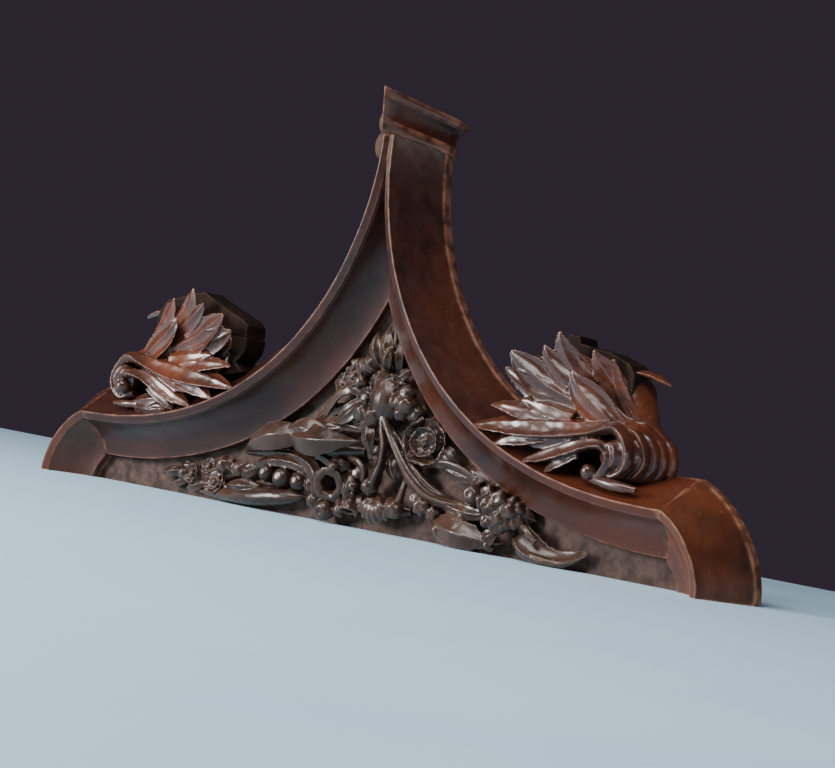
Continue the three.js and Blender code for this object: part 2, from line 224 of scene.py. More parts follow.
def bell(clay, base, mouth, r_base, r_mouth, wall=3.0, flutes=0, deep=0.0):
    """A hollow trumpet from base to mouth."""
    base, mouth = np.asarray(base, float), np.asarray(mouth, float)
    axis = unit(mouth - base)
    long = np.linalg.norm(mouth - base)
    a = unit(np.cross(axis, (0.1, 0.3, 0.95)))
    b = np.cross(axis, a)
    turn = np.linspace(0, 2 * math.pi, 32, endpoint=False)
    out = [(-0.12, 0.5), (0.0, 1.0), (0.35, 1.15), (0.7, 1.7)]
    profile = [(h * long, r_base * k * 0.9) for h, k in out]
    profile += [(0.9 * long, r_mouth * 0.93), (long, r_mouth), (long + 1.2, r_mouth - wall * 0.5)]
    profile += [(long - 1.0, r_mouth - wall), (0.55 * long, r_mouth * 0.62 - wall * 0.4),
        (0.15 * long, 1.0)]
    rings = []
    for h, r in profile:
        wave = max(r, 0.4) * (1 + deep * np.cos(flutes * turn))
        ring = base + axis * h + a * (wave * np.cos(turn))[:, None]
        rings.append(ring + b * (wave * np.sin(turn))[:, None])
    clay.shell(rings)


# ---------------------------------------------------------------- materials
def node(tree, kind, **sockets):
    made = tree.nodes.new(kind)
    for key, value in sockets.items():
        if hasattr(made, key):
            setattr(made, key, value)
        else:
            made.inputs[key.replace("_", " ")].default_value = value
    return made


def ramp(tree, source, stops):
    made = tree.nodes.new("ShaderNodeValToRGB")
    tree.links.new(source, made.inputs[0])
    elements = made.color_ramp.elements
    while len(elements) < len(stops):
        elements.new(0.5)
    for element, (spot, colour) in zip(elements, stops):
        element.position = spot
        element.color = (*colour, 1) if len(colour) == 3 else colour
    return made.outputs[0]


def blend(tree, share, under, over):
    """Lays one colour over what is there, by share."""
    made = tree.nodes.new("ShaderNodeMix")
    made.data_type = "RGBA"
    tree.links.new(share, made.inputs[0])
    tree.links.new(under, made.inputs[6])
    made.inputs[7].default_value = (*over, 1)
    return made.outputs[2]


GREY = {k: (k / 100,) * 3 for k in range(0, 101, 5)}  # by per cent


def walnut(name, dark, light, rub, patch, rough=(0.25, 0.45), grain=(5, 70, 70), edge=0.55, coat=0.25,
        bump=0.25, ripples=0.35, patchy=7.0, shine=0.36):
    """Polished walnut: grain, warmer patches, rubbed edges, painted shade with some dirt in the crevices,
    and small knocks.
    """
    material = bpy.data.materials.new(name)
    material.use_nodes = True
    tree = material.node_tree
    link = tree.links.new
    shader = tree.nodes["Principled BSDF"]
    where = tree.nodes.new("ShaderNodeTexCoord").outputs["Object"]
    turned = node(tree, "ShaderNodeMapping", Scale=grain)
    link(where, turned.inputs[0])
    fibres = node(tree, "ShaderNodeTexNoise", Scale=1.0, Detail=7.0, Roughness=0.62, Distortion=0.6)
    link(turned.outputs[0], fibres.inputs["Vector"])
    broad = node(tree, "ShaderNodeTexNoise", Scale=patchy, Detail=3.0, Roughness=0.55)
    link(where, broad.inputs["Vector"])
    colour = ramp(tree, fibres.outputs[0], [(0.3, dark), (0.7, light)])
    warm = ramp(tree, broad.outputs[0], [(0.46, GREY[0]), (0.66, GREY[80])])
    colour = blend(tree, warm, colour, patch)
    curve = tree.nodes.new("ShaderNodeNewGeometry").outputs["Pointiness"]
    smudge = node(tree, "ShaderNodeTexNoise", Scale=60.0, Detail=4.0)
    link(where, smudge.inputs["Vector"])
    # Painted shade with some dirt: concave places, found by Pointiness, are darkened to a quarter of the
    # dark grain colour.
    low = ramp(tree, curve, [(0.40, GREY[100]), (0.49, GREY[0])])
    colour = blend(tree, low, colour, tuple(c * 0.25 for c in dark))
    high = ramp(tree, curve, [(0.51, GREY[0]), (edge, GREY[100])])
    uneven = ramp(tree, smudge.outputs[0], [(0.38, GREY[15]), (0.62, GREY[100])])
    mask = tree.nodes.new("ShaderNodeMath")
    mask.operation = "MULTIPLY"
    link(high, mask.inputs[0])
    link(uneven, mask.inputs[1])
    colour = blend(tree, mask.outputs[0], colour, rub)
    pits = node(tree, "ShaderNodeTexVoronoi", Scale=85.0, Randomness=1.0)
    link(where, pits.inputs["Vector"])
    speck = ramp(tree, pits.outputs["Distance"], [(0.06, GREY[70]), (0.12, GREY[0])])
    sparse = ramp(tree, broad.outputs[0], [(0.5, GREY[0]), (0.58, GREY[60])])
    both = tree.nodes.new("ShaderNodeMath")
    both.operation = "MULTIPLY"
    link(speck, both.inputs[0])
    link(sparse, both.inputs[1])
    colour = blend(tree, both.outputs[0], colour, tuple(min(1, c * 1.5) for c in rub))
    link(colour, shader.inputs["Base Color"])
    span = node(tree, "ShaderNodeMapRange", From_Min=0.3, From_Max=0.7, To_Min=rough[0], To_Max=rough[1])
    link(smudge.outputs[0], span.inputs[0])
    link(span.outputs[0], shader.inputs["Roughness"])
    fine = node(tree, "ShaderNodeBump", Strength=bump, Distance=0.0012)
    link(fibres.outputs[0], fine.inputs["Height"])
    ripple = node(tree, "ShaderNodeTexNoise", Scale=26.0, Detail=2.0)
    link(where, ripple.inputs["Vector"])
    wave = node(tree, "ShaderNodeBump", Strength=ripples, Distance=0.004)
    link(ripple.outputs[0], wave.inputs["Height"])
    link(fine.outputs[0], wave.inputs["Normal"])
    link(wave.outputs[0], shader.inputs["Normal"])
    shader.inputs["Coat Weight"].default_value = coat
    shader.inputs["Coat Roughness"].default_value = 0.22
    shader.inputs["Specular IOR Level"].default_value = shine
    return material


POLISHED = walnut("walnut_polished", dark=(0.018, 0.006, 0.005), light=(0.052, 0.016, 0.010),
    rub=(0.26, 0.11, 0.07), patch=(0.11, 0.026, 0.010), rough=(0.27, 0.42), grain=(4, 50, 30), edge=0.55,
    coat=0.2, bump=0.12, ripples=0.25, patchy=3.2, shine=0.3)
BOARD = walnut("walnut_board", dark=(0.014, 0.007, 0.006), light=(0.030, 0.015, 0.012),
    rub=(0.12, 0.07, 0.055), patch=(0.045, 0.020, 0.014), rough=(0.5, 0.66), grain=(3, 60, 60),
    edge=0.57, coat=0.0, bump=0.15, ripples=0.1, patchy=3.0, shine=0.16)
WORN = walnut(
    "walnut_worn",
    dark=(0.026, 0.009, 0.006), light=(0.070, 0.022, 0.011),
    rub=(0.34, 0.15, 0.08), patch=(0.16, 0.040, 0.013),
    rough=(0.3, 0.48), grain=(6, 50, 30), edge=0.55, coat=0.25, bump=0.2, ripples=0.3, patchy=6.0)
CARVED = walnut("walnut_carved", dark=(0.038, 0.013, 0.009), light=(0.085, 0.029, 0.017),
    rub=(0.36, 0.18, 0.12), patch=(0.18, 0.044, 0.015), rough=(0.22, 0.36), grain=(14, 50, 50),
    edge=0.62, coat=0.4, bump=0.08, ripples=0.06, patchy=9.0, shine=0.5)
BLOCK = walnut("walnut_block", dark=(0.008, 0.005, 0.0045), light=(0.024, 0.013, 0.010),
    rub=(0.10, 0.055, 0.035), patch=(0.032, 0.015, 0.010), rough=(0.75, 0.9), grain=(5, 60, 90),
    edge=0.58, coat=0.0, bump=0.5, ripples=0.35, patchy=7.0, shine=0.12)
BOUQUET = walnut("walnut_bouquet", dark=(0.020, 0.009, 0.006), light=(0.052, 0.025, 0.016),
    rub=(0.32, 0.23, 0.18), patch=(0.075, 0.037, 0.024), rough=(0.2, 0.36), grain=(18, 50, 50),
    edge=0.62, coat=0.2, bump=0.1, ripples=0.1, patchy=9.0, shine=0.34)
BARE = walnut(
    "walnut_bare",
    dark=(0.035, 0.014, 0.008), light=(0.085, 0.036, 0.020),
    rub=(0.30, 0.17, 0.10), patch=(0.09, 0.035, 0.016),
    rough=(0.5, 0.75), grain=(60, 60, 6), edge=0.6, coat=0.0, bump=0.6)


# ---------------------------------------------------------------- pieces
def finish_piece(piece, material, cad_node, sharp=math.radians(38)):
    """Gives a piece its wood and its body, and hides the CAD node it stands for."""
    piece.data.materials.clear()
    piece.data.materials.append(material)
    piece.data.shade_smooth()
    piece.data.set_sharp_from_angle(angle=sharp)
    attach(piece, "root")
    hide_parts(cad_node)
    return piece


def object_from(name, verts, faces):
    mesh = bpy.data.meshes.new(name)
    mesh.from_pydata(np.asarray(verts).tolist(), [], faces)
    mesh.update()
    piece = bpy.data.objects.new(name, mesh)
    bpy.context.scene.collection.objects.link(piece)
    return piece


LOWEST = 1.2  # carvings stop just above the table


def carve(name, clay, cad_node, material=None, smooth=3, uneven=0.5,
        keep_front_of=None):
    """Fuses the shells into one surface, softens it as polish does, and makes it a piece."""
    p = clay.points()
    p = p + wobble(p, 60.0, 7) * uneven
    if keep_front_of is not None:
        p[:, 1] = np.minimum(p[:, 1], keep_front_of)
    p[:, 2] = np.maximum(p[:, 2], LOWEST)
    piece = object_from(name, place(p), clay.faces)
    solid = piece.modifiers.new("fuse", "REMESH")
    solid.mode = "VOXEL"
    solid.voxel_size = VOXEL
    soft = piece.modifiers.new("soft", "SMOOTH")
    soft.factor = 0.5
    soft.iterations = smooth
    graph = bpy.context.evaluated_depsgraph_get()
    fused = bpy.data.meshes.new_from_object(piece.evaluated_get(graph))
    old = piece.data
    piece.modifiers.clear()
    piece.data = fused
    bpy.data.meshes.remove(old)
    fused.name = name
    return finish_piece(piece, material or BOUQUET, cad_node, math.radians(75))


def cut(mesh_piece, planes):
    """Cuts a closed mesh with planes given as (point, normal) in metres, and closes each cut."""
    bm = bmesh.new()
    bm.from_mesh(mesh_piece.data)
    for point, normal in planes:
        geom = bm.verts[:] + bm.edges[:] + bm.faces[:]
        done = bmesh.ops.bisect_plane(bm, geom=geom, plane_co=point, plane_no=normal, clear_outer=True,
            dist=1e-7)
        edges = [e for e in done["geom_cut"] if isinstance(e, bmesh.types.BMEdge)]
        if edges:
            bmesh.ops.contextual_create(bm, geom=edges)
    bmesh.ops.recalc_face_normals(bm, faces=bm.faces[:])
    bm.to_mesh(mesh_piece.data)
    bm.free()


# ---------------------------------------------------------------- mouldings
def bezier(points, t):
    p = np.asarray(points, float)
    t = t[:, None]
    s = 1 - t
    at = s**3 * p[0] + 3 * s * s * t * p[1] + 3 * s * t * t * p[2] + t**3 * p[3]
    way = -3 * s * s * p[0] + (3 * s * s - 6 * s * t) * p[1]
    way = way + (6 * s * t - 3 * t * t) * p[2] + 3 * t * t * p[3]
    return at, unit(way)


def stations(curve, count, hand, tail=0.0):
    """Points along a front arris, from before the mitre, with the way inwards at each."""
    at, way = bezier(curve, np.linspace(0, 1, count))
    before = at[0] - way[0] * np.linspace(LEAD, 2, LEAD_STEPS)[:, None]
    at = np.vstack([before, at])
    way = np.vstack([np.tile(way[0], (LEAD_STEPS, 1)), way])
    if tail:
        at = np.vstack([at, at[-1] + way[-1] * tail])
        way = np.vstack([way, way[-1]])
    inward = np.stack([-way[:, 1], way[:, 0]], 1) * hand
    return at, inward


ARM = stations(ARM_CURVE, ARM_STEPS, 1)
FOOT = stations(FOOT_CURVE, FOOT_STEPS, -1, tail=FOOT_TAIL)


def moulding_section():
    """The moulding's section as (inwards, depth): outer face, rounded nose, fillet, cove and lip."""
    rear = FACE_DEPTH - GAP
    outer = [(-SPLAY * rear / FACE_DEPTH * (1 - t), rear * (1 - t)) for t in np.linspace(0, 0.965, 26)]
    nose = [(-0.9, 0.75), (-0.1, 0.25), (0.8, 0.25)]
    fillet = [(2.6, 1.1), (5.2, 2.4), (8.0, 3.7), (9.9, 4.6), (10.5, 5.1), (10.8, 6.0), (10.9, 7.3),
        (11.6, 8.0)]
    a, b, sag = np.array((11.6, 8.0)), np.array((59.6, 52.6)), 9.8
    way = unit(b - a)
    off = np.array((-way[1], way[0]))
    cove = [tuple(a + (b - a) * t + off * 4 * sag * t * (1 - t)) for t in np.linspace(0.03, 1, 34)]
    lip = [(60.1, 53.4), (60.3, 54.6), (60.3, 58), (60.3, 63), (60.3, rear)]
    base = [(40, rear), (10, rear), (-20, rear)]
    return np.array(outer + nose + fillet + cove + lip + base)


def sweep(name, path, section, planes, seed, uneven=0.3):
    """Runs a section along a path and cuts the ends; slightly uneven, as hand work is."""
    at, inward = path
    rings = []
    for spot, side in zip(at, inward):
        xz = spot + section[:, :1] * side
        rings.append(np.stack([xz[:, 0], section[:, 1], xz[:, 1]], 1))
    clay = Clay()
    clay.shell(rings)
    p = clay.points()
    p[:, 1:] += wobble(p, 130.0, seed)[:, 1:] * uneven
    p += wobble(p, 34.0, seed + 1) * uneven * 0.3
    piece = object_from(name, place(p), clay.faces)
    cut(piece, planes)
    return piece


_, arm_way = bezier(ARM_CURVE, np.array([0.0]))
_, foot_way = bezier(FOOT_CURVE, np.array([0.0]))
mitre = unit(foot_way[0] - arm_way[0])
mitre_normal = Vector((mitre[0], 0, mitre[1]))
mitre_point = Vector((MITRE[0] / 1000, 0, MITRE[1] / 1000))
half_gap = mitre_normal * (GAP / 2000)
CAP_UP = Vector((0, math.sin(CAP_TILT), math.cos(CAP_TILT)))
CAP_FOOT = Vector((0, FRONT_Y / 1000, CAP_Z / 1000))
SEAM = 0.02  # the glue joint between the arms, each side of the centre
ARM_CUTS = [
    (mitre_point - half_gap, mitre_normal),
    (Vector((SEAM / 1000, 0, 0)), Vector((-1, 0, 0))),
    (CAP_FOOT, CAP_UP),
]
FOOT_CUTS = [(mitre_point + half_gap, -mitre_normal), (Vector((0, 0, 0)), Vector((0, 0, -1)))]


def mirrored(piece, name):
    """A left-hand copy of a right-hand piece."""
    mesh = piece.data.copy()
    mesh.transform(Matrix.Scale(-1, 4, Vector((1, 0, 0))))
    mesh.flip_normals()
    mesh.name = name
    twin = bpy.data.objects.new(name, mesh)
    bpy.context.scene.collection.objects.link(twin)
    return twin


def strip_section():
    """The strip behind a moulding, with eased outer arrises."""
    low, high = FACE_DEPTH, BACK_DEPTH
    ring = [(-SPLAY + 0.8, low), (-SPLAY, low + 0.8), (-SPLAY, high - 0.8), (-SPLAY + 0.8, high)]
    ring += [(o, high) for o in (-30, -10, 10, 30)] + [(40, high), (40, low)]
    ring += [(o, low) for o in (30, 10, -10, -30)]
    return np.array(ring)


SECTION = moulding_section()
STRIP = strip_section()
for part, path, cuts, seed in (("arm", ARM, ARM_CUTS, 11), ("foot", FOOT, FOOT_CUTS, 31)):
    skin = POLISHED if part == "arm" else WORN
    body = sweep(f"walnut_right_{part}_moulding", path, SECTION, cuts, seed)
    twin = mirrored(body, f"walnut_left_{part}_moulding")
    finish_piece(body, skin, f"right_{part}_moulding")
    finish_piece(twin, skin, f"left_{part}_moulding")
    strip = sweep(f"walnut_right_{part}_strip", path, STRIP, cuts, seed + 5, 0.0)
    twin = mirrored(strip, f"walnut_left_{part}_strip")
    finish_piece(strip, skin, f"right_{part}_back_strip")
    finish_piece(twin, skin, f"left_{part}_back_strip")


# ---------------------------------------------------------------- board
def board_piece():
    """The board, just inside the back strips, with its crack."""
    inside = 40.3
    at, inward = ARM
    arm = (at + inward * inside)[LEAD_STEPS + 2:]
    arm = arm[arm[:, 0] > 0.5]
    at, inward = FOOT
    foot = (at + inward * inside)[::-1]
    foot = foot[(foot[:, 1] > 0.5) & (foot[:, 1] < arm[0, 1] - 1)]
    right = np.vstack([[[600 - inside, 0]], foot, arm])
    apex = [0.0, right[-1, 1] + 1.5]
    # The shrinkage crack rises from the lower edge, just right of the centre line.
    crack = [(1.6, 0.0), (1.0, 9.0), (1.2, 15.0), (0.9, 24.0), (0.3, 15.0), (0.2, 9.0), (0.1, 0.0)]
    left = right[::-1] * (-1, 1)
    outline = np.vstack([right, [apex], left, crack[::-1]])
    bm = bmesh.new()
    flat = np.stack([outline[:, 0], np.full(len(outline), FACE_DEPTH), outline[:, 1]], 1)
    front = [bm.verts.new(v) for v in place(flat)]
    face = bm.faces.new(front)
    back = bmesh.ops.extrude_face_region(bm, geom=[face])
    moved = [g for g in back["geom"] if isinstance(g, bmesh.types.BMVert)]
    bmesh.ops.translate(bm, verts=moved, vec=(0, (BACK_DEPTH - FACE_DEPTH) / 1000, 0))
    bmesh.ops.recalc_face_normals(bm, faces=bm.faces[:])
    bmesh.ops.triangulate(bm, faces=[f for f in bm.faces if len(f.verts) > 4])
    mesh = bpy.data.meshes.new("walnut_board")
    bm.to_mesh(mesh)
    bm.free()
    piece = bpy.data.objects.new("walnut_board", mesh)
    bpy.context.scene.collection.objects.link(piece)
    return piece


finish_piece(board_piece(), BOARD, "tympanum_board")


# ---------------------------------------------------------------- cap
CAP_LEAN = 0.36  # how much further forward the nose comes for each millimetre of height
CAP_RISE = 0.001  # how much thicker the courses get for each millimetre forward of the board


def cap_plan(high, out):
    """The cap's plan in its own tilted frame: a narrow nose, long spreading sides and short returns."""
    length = math.hypot(SPLAY, FACE_DEPTH)
    across, back = FACE_DEPTH / length, SPLAY / length
    nose, wide = 1.0, NECK[0] + SPLAY
    nose_deep = FACE_DEPTH - ((wide - nose) * across + 1) / back - CAP_LEAN * high
    corner_deep = FACE_DEPTH + out * (across - 1) / back
    rear = BACK_DEPTH + max(out, 0) + 4
    right = [(nose, nose_deep), (wide + out, corner_deep), (wide + out, rear)]
    ring = np.array(right + [(-x, y) for x, y in right[::-1]])
    eased = []
    for i, corner in enumerate(ring):
        before, after = ring[i - 1], ring[(i + 1) % len(ring)]
        to_before, to_after = unit(before - corner), unit(after - corner)
        reach = 0.45 * min(np.linalg.norm(before - corner), np.linalg.norm(after - corner), 4.0)
        eased += [corner + to_before * reach, corner + (to_before + to_after) * reach * 0.22,
            corner + to_after * reach]
        span = np.linalg.norm(after - corner)
        if span > 30:
            eased += [corner + to_after * (span * t) for t in (0.2, 0.4, 0.6, 0.8)]
    return np.array(eased)


def cap_course(name, levels, cad_node, seed):
    """One course of the cap through levels of (height, how far it stands out)."""
    rings = []
    for high, out in levels:
        plan = cap_plan(high, out)
        level = high * (1 + CAP_RISE * (FACE_DEPTH - plan[:, 1]))
        y = plan[:, 1] * math.cos(CAP_TILT) + level * math.sin(CAP_TILT)
        z = -plan[:, 1] * math.sin(CAP_TILT) + level * math.cos(CAP_TILT)
        rings.append(np.stack([plan[:, 0], y, z + CAP_Z], 1))
    clay = Clay()
    clay.shell(rings)
    p = clay.points()
    p += wobble(p, 40.0, seed) * 0.25
    piece = object_from(name, place(p), clay.faces)
    bm = bmesh.new()
    bm.from_mesh(piece.data)
    bmesh.ops.recalc_face_normals(bm, faces=bm.faces[:])
    bm.to_mesh(piece.data)
    bm.free()
    return finish_piece(piece, POLISHED, cad_node)


cap_course("walnut_cap_bed", [(0.3, 0.4), (1.0, 1.0), (6, 1.2), (12.2, 1.0), (13, 0.3)],
    "cap_bed_fillet", 51)
cavetto = [(13.3, -2.2)]
cavetto += [(h, -2.2 - 4.2 * math.sin(math.pi * (h - 13.3) / 24) ** 0.8) for h in np.linspace(15, 35, 12)]
cavetto += [(36.8, -1.6), (38.2, -0.2), (39.4, 1.2), (40.4, 2.0), (41, 2.0)]
cap_course("walnut_cap_cavetto", cavetto, "cap_cavetto", 52)
cap_course("walnut_cap_abacus", [(41.3, 3.4), (42.0, 4.0), (46, 4.5), (50.2, 4.6), (51, 3.9)],
    "cap_abacus", 53)


def cap_spot(x, y, high):
    """A point of the cap's tilted frame as (x, depth, z)."""
    c, s = math.cos(CAP_TILT), math.sin(CAP_TILT)
    return np.array((x, y * c + high * s, -y * s + high * c + CAP_Z))


def stub(name, x, y, radius, high, cad_node, seed):
    """A broken-off dowel: a slightly splintered top on a round peg."""
    up = cap_spot(0, 0, 1) - cap_spot(0, 0, 0)
    base = cap_spot(x, y, 51.2 * (1 + CAP_RISE * (FACE_DEPTH - y)))
    turn = np.linspace(0, 2 * math.pi, 20, endpoint=False)
    r = np.random.default_rng(seed)
    rag = r.uniform(0.55, 1.0, 20)
    a, b = np.array((1.0, 0, 0)), np.cross(up, (1.0, 0, 0))
    rings = []
    for share, scale in ((0, 1.0), (0.3, 0.97), (0.6, 0.93), (0.9, 0.9), (1.0, 0.8), (0.92, 0.4)):
        ring = a * (radius * scale * np.cos(turn))[:, None] + b * (radius * scale * np.sin(turn))[:, None]
        rings.append(base + ring + up * (high * share * np.where(share > 0.5, rag, 1))[:, None])
    clay = Clay()
    clay.shell(rings)
    carve(name, clay, cad_node, BARE, 1, 0.1)


stub("walnut_finial_dowel", 6, 44, 8, 9, "finial_dowel", 61)
stub("walnut_finial_key", 12, 72, 5, 6, "finial_key", 62)

cleat = Clay()
for low, high, out in ((516, 553, 14), (551, 586, 13)):
    mid = (low + high) / 2
    rows = [(-26, 24, low + 1, 4), (-29, 24, low + 8, out * 0.66), (-30, 24, mid, out * 0.8)]
    rows += [(-29, 24, high - 8, out * 0.66), (-26, 24, high - 1, 4)]
    tube(cleat, rows, 18, flat=0.62)
carve("walnut_neck_cleat", cleat, "neck_cleat", BARE, 2, 0.4)


# ---------------------------------------------------------------- acanthus
def block_piece(side, which, outline, low, high):
    """One board of the block glued up behind the leaf, with its sawn edges eased."""
    points = np.array(outline, float)
    dense = []
    for i, p in enumerate(points):
        q = points[(i + 1) % len(points)]
        steps = max(2, int(np.linalg.norm(q - p) / 6))
        dense += [p + (q - p) * t for t in np.linspace(0, 1, steps, endpoint=False)]
    dense = np.array(dense)
    dense[:, 1] = np.clip(dense[:, 1], low, high)
    centre = dense.mean(0)
    rings = []
    for depth, inset in ((40.0, 1.5), (41.2, 0.4), (46, 0), (58, 0), (72, 0), (80.4, 0.3), (81.6, 1.4)):
        ring = dense + unit(centre - dense) * inset
        rings.append(np.stack([ring[:, 0] * side, np.full(len(ring), depth), ring[:, 1]], 1))
    clay = Clay()
    clay.shell(rings if side > 0 else rings[::-1])
    name = "right" if side > 0 else "left"
    carve(f"walnut_{name}_block_{which}", clay, f"{name}_acanthus_block_{which}", BLOCK,
        2, 0.7)


ARM_REAR = [(246, 193), (300, 178), (350, 161), (400, 150), (436, 144)]
RIGHT_TOP = [(436, 180), (438, 262), (428, 275), (395, 287), (356, 292), (346, 293), (343, 303),
    (326, 305), (318, 280), (306, 240)]
LEFT_TOP = [(436, 180), (438, 262), (421, 285), (349, 303), (304, 285), (262, 270), (250, 262),
    (249, 247), (246, 240), (248, 222), (262, 206)]
LAMINATION = 245.0
for side, top, inner in ((1, RIGHT_TOP, 306), (-1, LEFT_TOP, 246)):
    foot = [(max(x, inner), z) for x, z in ARM_REAR]
    block_piece(side, "lower", foot + top, 0, LAMINATION)
    block_piece(side, "upper", foot + top, LAMINATION + 0.4, 400)

HUB = np.array((438.0, 158.0))  # middle of the volute


def lobe_faces(rows, forward=0.85, outward=0.6, upward=0.0):
    """The way a lobe faces: forwards out in the leaf, outwards where it rolls over the volute."""
    faces = []
    for x, _, z in (row[:3] for row in rows):
        out = unit(np.array((x, z)) - HUB)
        roll = np.clip((x - 395) / 60, 0, 1)
        faces.append((out[0] * (outward + roll), -forward * (1 - 0.85 * roll),
            out[1] * (outward + roll) + upward * (1 - roll)))
    return faces


def roll(depth, out, half):
    """The end of a lobe where it turns over the outside of the volute and tucks under."""
    return [
        (out - 46, depth, 134, half * 0.7, 9, 1), (out - 24, depth, 127, half * 0.9, 9, 1),
        (out - 5, depth, 139, half, 9, 1), (out, depth, 159, half, 10, 1),
        (out - 9, depth, 180, half * 1.05, 11, 0.9), (out - 30, depth - 1, 195, half * 1.1, 12, 0.6),
    ]


def acanthus(reach, eye):
    """One leaf for the right arm: eight lobes that fan from the volute, each with its own side tips."""
    clay = Clay()
    front = (0.0, -1.0, 0.15)
    hook = [(eye[0], eye[1], eye[2] - 2, 5, 8, 1), (eye[0] + 16, 8, eye[2] - 5, 7, 8, 1)]
    hook += [(reach - 28, 7, 139, 8, 8, 0.6), (reach - 24, 6, 154, 9, 9, 0.4),
        (reach - 34, 5, 168, 11, 9, 0.2)]
    a = hook + [(410, 3, 170, 14, 10), (372, 3, 158, 17, 10), (340, 3, 145, 14, 8), (318, 4, 137, 7, 6),
        (305, 5, 131, 1, 3)]
    blade(clay, a, lobe_faces(a, 0.75, 0.1, 0.75), 0.3, 0.35)
    blade(clay, [(392, 4, 156, 12, 8), (366, 4, 142, 13, 8), (350, 5, 130, 8, 6), (343, 6, 123, 2, 3)],
        (-0.4, -1, 0.35), 0.2, 0.35)
    blade(clay, [(392, 6, 168, 11, 8), (352, 4, 164, 12, 8), (328, 4, 158, 8, 6), (314, 4, 154, 2, 3)],
        (0.0, -1, 0.1), 0.35, 0.3)
    b = roll(17, reach, 11.5) + [(404, 9, 189, 16, 14, 0.2), (356, 7, 184, 22, 13), (306, 3, 179, 22, 10),
                                 (264, 0, 175, 16, 7), (238, 0, 171, 9, 5), (223, 0, 169, 2, 3)]
    blade(clay, b, lobe_faces(b, 0.75, 0.1, 0.75), 0.3, 0.4)
    blade(clay, [(340, 6, 174, 16, 10), (300, 2, 164, 16, 8), (276, 0, 155, 9, 6), (262, 0, 148, 2, 3)],
        (-0.4, -1, 0.35), 0.2, 0.35)
    blade(clay, [(350, 12, 192, 15, 9), (302, 9, 197, 16, 7), (262, 8, 200, 9, 5), (241, 8, 199, 2, 3)],
        (-0.5, -0.8, 0.6), 0.2, 0.4)
    blade(clay, [(372, 14, 198, 15, 9), (326, 12, 206, 14, 7), (300, 12, 210, 8, 5),
        (286, 12, 211, 2, 3)], (-0.1, -0.9, 0.5), 0.25, 0.3)
    d = roll(30, reach + 17, 7.5) + [(404, 22, 205, 16, 16, 0.2), (362, 19, 218, 25, 14),
        (322, 13, 234, 26, 10), (292, 6, 252, 20, 7), (274, 2, 264, 11, 5), (265, 1, 272, 3, 4)]
    blade(clay, d, lobe_faces(d, 1.0, 0.2, 0.1), 0.3, 0.5, cup=0.15)
    blade(clay, [(352, 20, 214, 18, 10), (308, 13, 223, 21, 8), (276, 10, 236, 15, 6),
        (259, 10, 245, 8, 5), (252, 10, 249, 2, 3)],
        [(-0.1, -1, 0.1), (-0.2, -1, -0.1), (-0.5, -1, -0.3), (-0.6, -1, -0.3), (-0.6, -1, -0.3)], 0.3,
        0.5, cup=0.2)
    blade(clay, [(352, 22, 232, 16, 10), (324, 19, 250, 15, 7), (308, 14, 263, 9, 5),
        (300, 12, 270, 2, 3)], (0.4, -1, 0.2), 0.35, 0.4)
    e = roll(41, reach + 24, 6.5) + [(416, 32, 212, 15, 16, 0.2), (386, 28, 236, 20, 13),
        (360, 20, 258, 21, 9), (346, 13, 276, 17, 7), (339, 7, 292, 10, 5), (336, 4, 304, 2, 4)]
    blade(clay, e, lobe_faces(e, 1.0, 0.05, 0.12), 0.22, 0.25)
    blade(clay, [(390, 30, 228, 15, 10), (354, 18, 248, 17, 8), (330, 11, 264, 14, 6),
        (318, 7, 277, 8, 5), (314, 6, 285, 2, 3)], (-0.15, -1, 0.12), 0.35, 0.4)
    blade(clay, [(392, 30, 246, 14, 9), (372, 24, 263, 14, 7), (362, 19, 276, 8, 5),
        (359, 17, 285, 2, 3)], (0.15, -1, 0.15), 0.4, 0.4)
    f = [(446, 26, 188, 9, 12), (426, 18, 200, 17, 12), (402, 12, 216, 23, 10), (382, 8, 232, 20, 8),
        (370, 6, 245, 12, 6), (363, 6, 257, 2.5, 4)]
    blade(clay, f, [(0.1, -1, 0.2), (0.1, -1, 0.2), (0.2, -1, 0.1), (0.15, -1, 0), (0, -1, -0.1),
        (-0.1, -1, -0.2)], 0.25, 0.5, cup=0.15)
    g = roll(51, reach + 31, 6) + [(436, 46, 216, 14, 14, 0.2), (416, 38, 240, 18, 11),
        (402, 29, 260, 17, 8), (392, 21, 274, 11, 6), (386, 16, 287, 2, 3)]
    blade(clay, g, lobe_faces(g, 1.0, 0.05, 0.12)[:6] + [(0.3, -0.9, 0.2)] + [(0.05, -1, 0.12)] * 4,
        0.22, 0.25)
    blade(clay, [(414, 40, 240, 13, 9), (394, 36, 256, 12, 7), (380, 33, 268, 7, 5),
        (372, 32, 273, 2, 3)], (-0.1, -1, 0.15), 0.4, 0.4)
    blade(clay, [(446, 44, 198, 12, 10), (427, 38, 224, 15, 8), (415, 34, 247, 13, 6),
        (410, 31, 265, 9, 5), (408, 29, 279, 2.5, 4)], (0.0, -1, 0.14), 0.2, 0.3)
    i = roll(62, reach + 38, 6) + [(462, 58, 204, 15, 12, 0.2), (446, 56, 226, 22, 8),
        (434, 60, 246, 25, 6), (425, 66, 262, 17, 5)]
    blade(clay, i, [(0.6, -0.2, 0.4)] * 6 + [(0.9, -0.5, 0.1), (0.9, -0.5, 0.1), (0.85, -0.55, 0.0),
        (0.7, -0.6, -0.3)], 0.0, 0.0, cup=-0.35)
    brim = [(416, 58, 258, 3, 4), (428, 54, 266, 8, 5), (444, 56, 268, 11, 5), (462, 60, 264, 9, 5),
        (482, 63, 256, 2, 4)]
    blade(clay, brim, (0.3, -0.15, 1.0), 0.25, 0.0)
